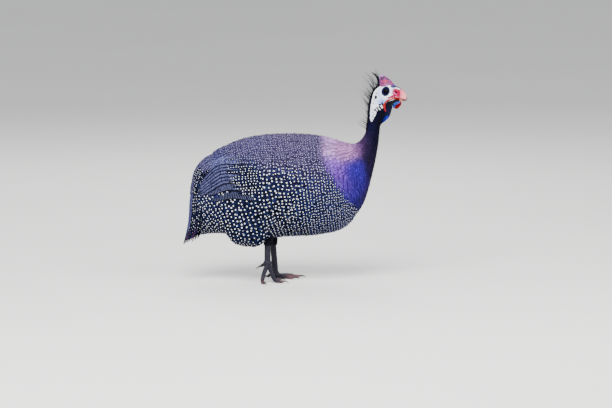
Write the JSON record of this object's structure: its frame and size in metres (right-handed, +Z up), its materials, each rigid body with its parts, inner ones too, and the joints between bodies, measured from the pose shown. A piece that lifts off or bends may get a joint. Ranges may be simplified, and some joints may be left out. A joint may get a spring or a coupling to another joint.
{
  "type": "guinea fowl",
  "caption": "Life-size model of a helmeted guinea fowl in mid step, with drooping tail, folded wings, bony casque, wattles and a crest of nape plumes.",
  "frame": {"origin": "on the floor under the middle of the bird's overall box", "axes": "+X is the way the body faces, +Y is its left side, +Z is up"},
  "size_m": [0.4488, 0.176, 0.4212],
  "materials": {
    "plumage": "soft matt feathers, near-black blue with white dots",
    "mauve": "soft short feathers, violet blue",
    "skin": "bare skin, pale blue-white",
    "horn": "dull horn, dusty pink",
    "bill": "smooth horn, pale pink",
    "wattle": "soft skin, dark red",
    "eye": "wet and glossy, dark brown",
    "leg": "scaled skin, slate purple",
    "claw": "dull horn, dark brown"
  },
  "bodies": {
    "root": {"torso": "plumage", "wing_right": "plumage", "wing_left": "plumage", "tail": "plumage", "thigh_right": "plumage", "thigh_left": "plumage", "crest": "plumage", "neck": "mauve", "head": "skin", "casque": "horn", "bill_upper": "bill", "bill_lower": "bill", "wattle_right": "wattle", "wattle_left": "wattle", "eye_right": "eye", "eye_left": "eye", "shank_right": "leg", "shank_left": "leg", "foot_right": "leg", "foot_left": "leg", "claw_right_inner": "claw", "claw_right_middle": "claw", "claw_right_outer": "claw", "claw_right_hind": "claw", "claw_left_inner": "claw", "claw_left_middle": "claw", "claw_left_outer": "claw", "claw_left_hind": "claw"}
  },
  "joints": []
}
